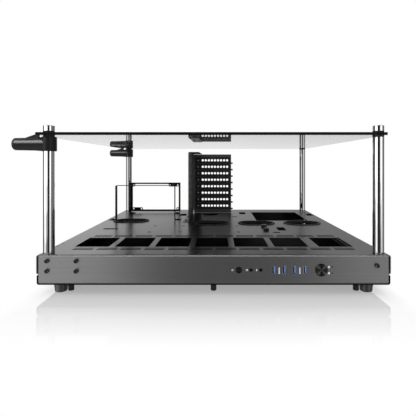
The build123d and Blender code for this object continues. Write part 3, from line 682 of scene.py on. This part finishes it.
def studio_floor():
    """White floor with a faint mirror near the bench, plain white far from it, clear to reflections."""
    material, tree, main = shader("studio_floor")
    tree.links.new(tint(tree, noise(tree, 2.0), 0.5, 0.52), main.inputs["Base Color"])
    tree.links.new(spread(tree, noise(tree, 6.0), 0.05, 0.07), main.inputs["Roughness"])
    set_inputs(main, IOR=2.0, Emission_Color=rgba(1.0), Emission_Strength=FLOOR_GLOW)
    axes = place_axes(tree)
    mirror = ranged(tree, axes["Y"], front_y - MIRROR_FAR * MM, front_y - MIRROR_NEAR * MM, 0.5, 1.0)
    tree.links.new(mirror, main.inputs["Specular IOR Level"])
    fades = []
    for axis, centre, start, end in zip("XY", middle(*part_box("deck_panel")), FADE_START, FADE_END):
        reach = math_node(tree, "ABSOLUTE", math_node(tree, "SUBTRACT", axes[axis], centre))
        fades.append(ranged(tree, reach, start, end))
    white = node(tree, "ShaderNodeEmission", Strength=1.0)
    fade = math_node(tree, "MAXIMUM", *fades)
    lit = blend(tree, fade, main.outputs["BSDF"], white.outputs["Emission"])
    path = tree.nodes.new("ShaderNodeLightPath").outputs
    passing = math_node(tree, "MAXIMUM", path["Is Glossy Ray"], path["Is Shadow Ray"])
    clear = tree.nodes.new("ShaderNodeBsdfTransparent")
    shown = blend(tree, passing, lit, clear.outputs["BSDF"])
    tree.links.new(shown, tree.nodes["Material Output"].inputs["Surface"])
    mesh = bpy.data.meshes.new("studio_floor")
    corners = [(x * FLOOR_HALF, y * FLOOR_HALF, 0) for x, y in ((-1, -1), (1, -1), (1, 1), (-1, 1))]
    mesh.from_pydata(corners, [], [(0, 1, 2, 3)])
    mesh.materials.append(material)
    made = bpy.data.objects.new("studio_floor", mesh)
    scene.collection.objects.link(made)


# Studio surround: brightness by compass turn in degrees from the front towards the right, in
# four bands one above the other

below_studio = [(-89.9, 0.3), (-84, 0.9), (-40, 0.9), (-28, 0.47), (24, 0.47), (40, 0.9), (68, 0.9),
                (80, 0.3), (140, 0.3), (220, 0.3), (269.9, 0.3)]
front_studio = [(-89.9, 0.1), (-76, 0.1), (-68, 0.95), (-46, 0.95), (-32, 0.02), (28, 0.02),
                (42, 0.9), (58, 0.8), (70, 0.2), (90, 0.18)]
low_studio = front_studio + [(140, 0.18), (150, 0.85), (180, 0.97), (210, 1.0), (220, 0.13),
                             (248, 0.11), (269.9, 0.12)]
deck_studio = front_studio + [(150, 0.12), (160, 0.14), (180, 0.42), (200, 1.0), (210, 0.9),
                              (220, 0.13), (269.9, 0.12)]
high_studio = [(-89.9, 0.3), (-40, 0.06), (40, 0.06), (90, 0.3), (120, 0.4), (140, 1.0), (220, 1.0),
               (240, 0.4), (269.9, 0.3)]
BANDS = ((-0.3, -0.24, low_studio), (0.04, 0.09, deck_studio), (0.26, 0.34, high_studio))


def turn_ramp(tree, direction, stops):
    """Brightness around the studio from its stops."""
    turn = tree.nodes.new("ShaderNodeTexGradient")
    turn.gradient_type = "RADIAL"
    tree.links.new(direction, turn.inputs["Vector"])
    ramp = tree.nodes.new("ShaderNodeValToRGB")
    elements = ramp.color_ramp.elements
    placed = [((degrees / 360 + 0.25) % 1.0, value) for degrees, value in stops]
    for element, (place, value) in zip(list(elements), placed[:2]):
        element.position = place
        element.color = rgba(value)
    for place, value in placed[2:]:
        elements.new(place).color = rgba(value)
    tree.links.new(turn.outputs["Fac"], ramp.inputs["Fac"])
    return ramp.outputs["Color"]


def studio_surround():
    """White to the eye and even light on dull surfaces; a studio's lights and darks in a shine."""
    world = bpy.data.worlds.new("studio")
    world.use_nodes = True
    world.cycles.sampling_method = "NONE"
    scene.world = world
    tree = world.node_tree
    main = tree.nodes["Background"]
    direction = tree.nodes.new("ShaderNodeTexCoord").outputs["Generated"]
    split = tree.nodes.new("ShaderNodeSeparateXYZ")
    tree.links.new(direction, split.inputs["Vector"])
    studio = turn_ramp(tree, direction, below_studio)
    for start, end, stops in BANDS:
        both = tree.nodes.new("ShaderNodeMix")
        tree.links.new(ranged(tree, split.outputs["Z"], start, end), both.inputs["Factor"])
        tree.links.new(studio, both.inputs["A"])
        tree.links.new(turn_ramp(tree, direction, stops), both.inputs["B"])
        studio = both.outputs["Result"]
    path = tree.nodes.new("ShaderNodeLightPath")
    pick = node(tree, "ShaderNodeMix", A=1.0)
    tree.links.new(path.outputs["Is Glossy Ray"], pick.inputs["Factor"])
    tree.links.new(studio, pick.inputs["B"])
    tree.links.new(pick.outputs["Result"], main.inputs["Strength"])
    set_inputs(main, Color=rgba(1.0))


# Soft boxes, which show only in a shine

SIDE_BOX_H = 1.5
SIDE_BOXES = (    # name, place, target, width, shine in the front and in the rear posts
    ("left", (-0.66, -0.69, 0.1), (-0.07, -0.03, 0.1), 0.95, 1.45, 0.45),
    ("right", (1.0, -1.16, 0.1), (1.14, -0.17, 0.1), 1.05, 1.12, 0.4))
BAR_BANDS = (     # lowest and highest height of a box for the front posts, and its share of the shine
    (-0.65, -0.15, 0.05), (-0.15, -0.03, 0.2), (-0.03, 0.06, 0.4), (0.06, 0.15, 0.7),
    (0.15, 0.85, 1.0))
CAP_BOXES = (("cap_left_box", (-0.29, -0.91, 0.29)), ("cap_right_box", (0.71, -0.67, 0.21)))
CAP_BOX_AWAY, CAP_BOX_SIDE, CAP_BOX_SHINE = 0.9, 0.24, 22.0


def soft_box(name, place, target, width, height, shine, shown_in):
    """Soft box aimed at a point, with its brightness in the shine of the objects it is flagged to."""
    light = bpy.data.lights.new(name, "AREA")
    light.shape = "RECTANGLE"
    light.size = width
    light.size_y = height
    light.energy = math.pi * width * height * shine
    made = bpy.data.objects.new(name, light)
    aim = (Vector(target) - Vector(place)).to_track_quat("-Z", "Y")
    made.matrix_world = at(*place) @ aim.to_matrix().to_4x4()
    made.visible_diffuse = False
    made.visible_camera = False
    scene.collection.objects.link(made)
    flagged = bpy.data.collections.new(name + "_shown_in")
    for item in shown_in:
        flagged.objects.link(item)
    made.light_linking.receiver_collection = flagged


def studio_lights():
    """Boxes for the front face and feet, the posts, the fold, the arms and the power button."""
    pieces = bpy.data.objects
    face = [nodes[name] for name in ["deck_panel", "stand_screws", "lamp_lenses"] + USB_SHELLS]
    face += [pieces[f"slot_screw_{number}"] for number in range(1, 9)]
    face += [pieces["rubber_foot_" + corner] for corner in CORNERS]
    front_bars, rear_bars = (
        [pieces[f"{part}_{end}_{side}"] for part in ("bar", "cap") for side in SIDES]
        for end in ("front", "rear"))
    arms = [nodes[f"stand_{part}_{end}"] for part in ("clamp", "pad") for end in ("front", "rear")]
    for name, place, target, width, shine, rear_shine in SIDE_BOXES:
        soft_box(name + "_box", place, target, width, SIDE_BOX_H, shine, face)
        soft_box(name + "_rear_box", place, target, width, SIDE_BOX_H, rear_shine, rear_bars)
        for number, (low, high, share) in enumerate(BAR_BANDS):
            z = (low + high) / 2
            soft_box(f"{name}_bar_box_{number}", (*place[:2], z), (*target[:2], z),
                     width, high - low, shine * share, front_bars)
    soft_box("edge_box", (0.02, -1.0, 1.0), (0.02, -0.29, 0.07), 1.8, 0.4, 6.0, [nodes["deck_panel"]])
    soft_box("top_box", (-1.0, -1.0, 0.95), (-0.35, -0.28, 0.25), 1.0, 0.7, 20.0, arms)
    cap_place = middle(*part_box("power_button"))
    for name, way in CAP_BOXES:
        soft_box(name, cap_place + CAP_BOX_AWAY * Vector(way), cap_place,
                 CAP_BOX_SIDE, CAP_BOX_SIDE, CAP_BOX_SHINE, [pieces["power_cap"]])


def photo_camera():
    """Level camera at the photograph's place and lens."""
    camera = bpy.data.cameras.new("photo_camera")
    camera.sensor_width = 36.0
    camera.lens = 31.13
    camera.shift_x = -0.0236
    camera.shift_y = -0.1074
    made = bpy.data.objects.new("photo_camera", camera)
    made.matrix_world = at(0.0313, -0.9055, 0.224) @ facing_front
    scene.collection.objects.link(made)
    scene.camera = made


studio_floor()
studio_surround()
studio_lights()
photo_camera()
scene.view_settings.view_transform = "Standard"
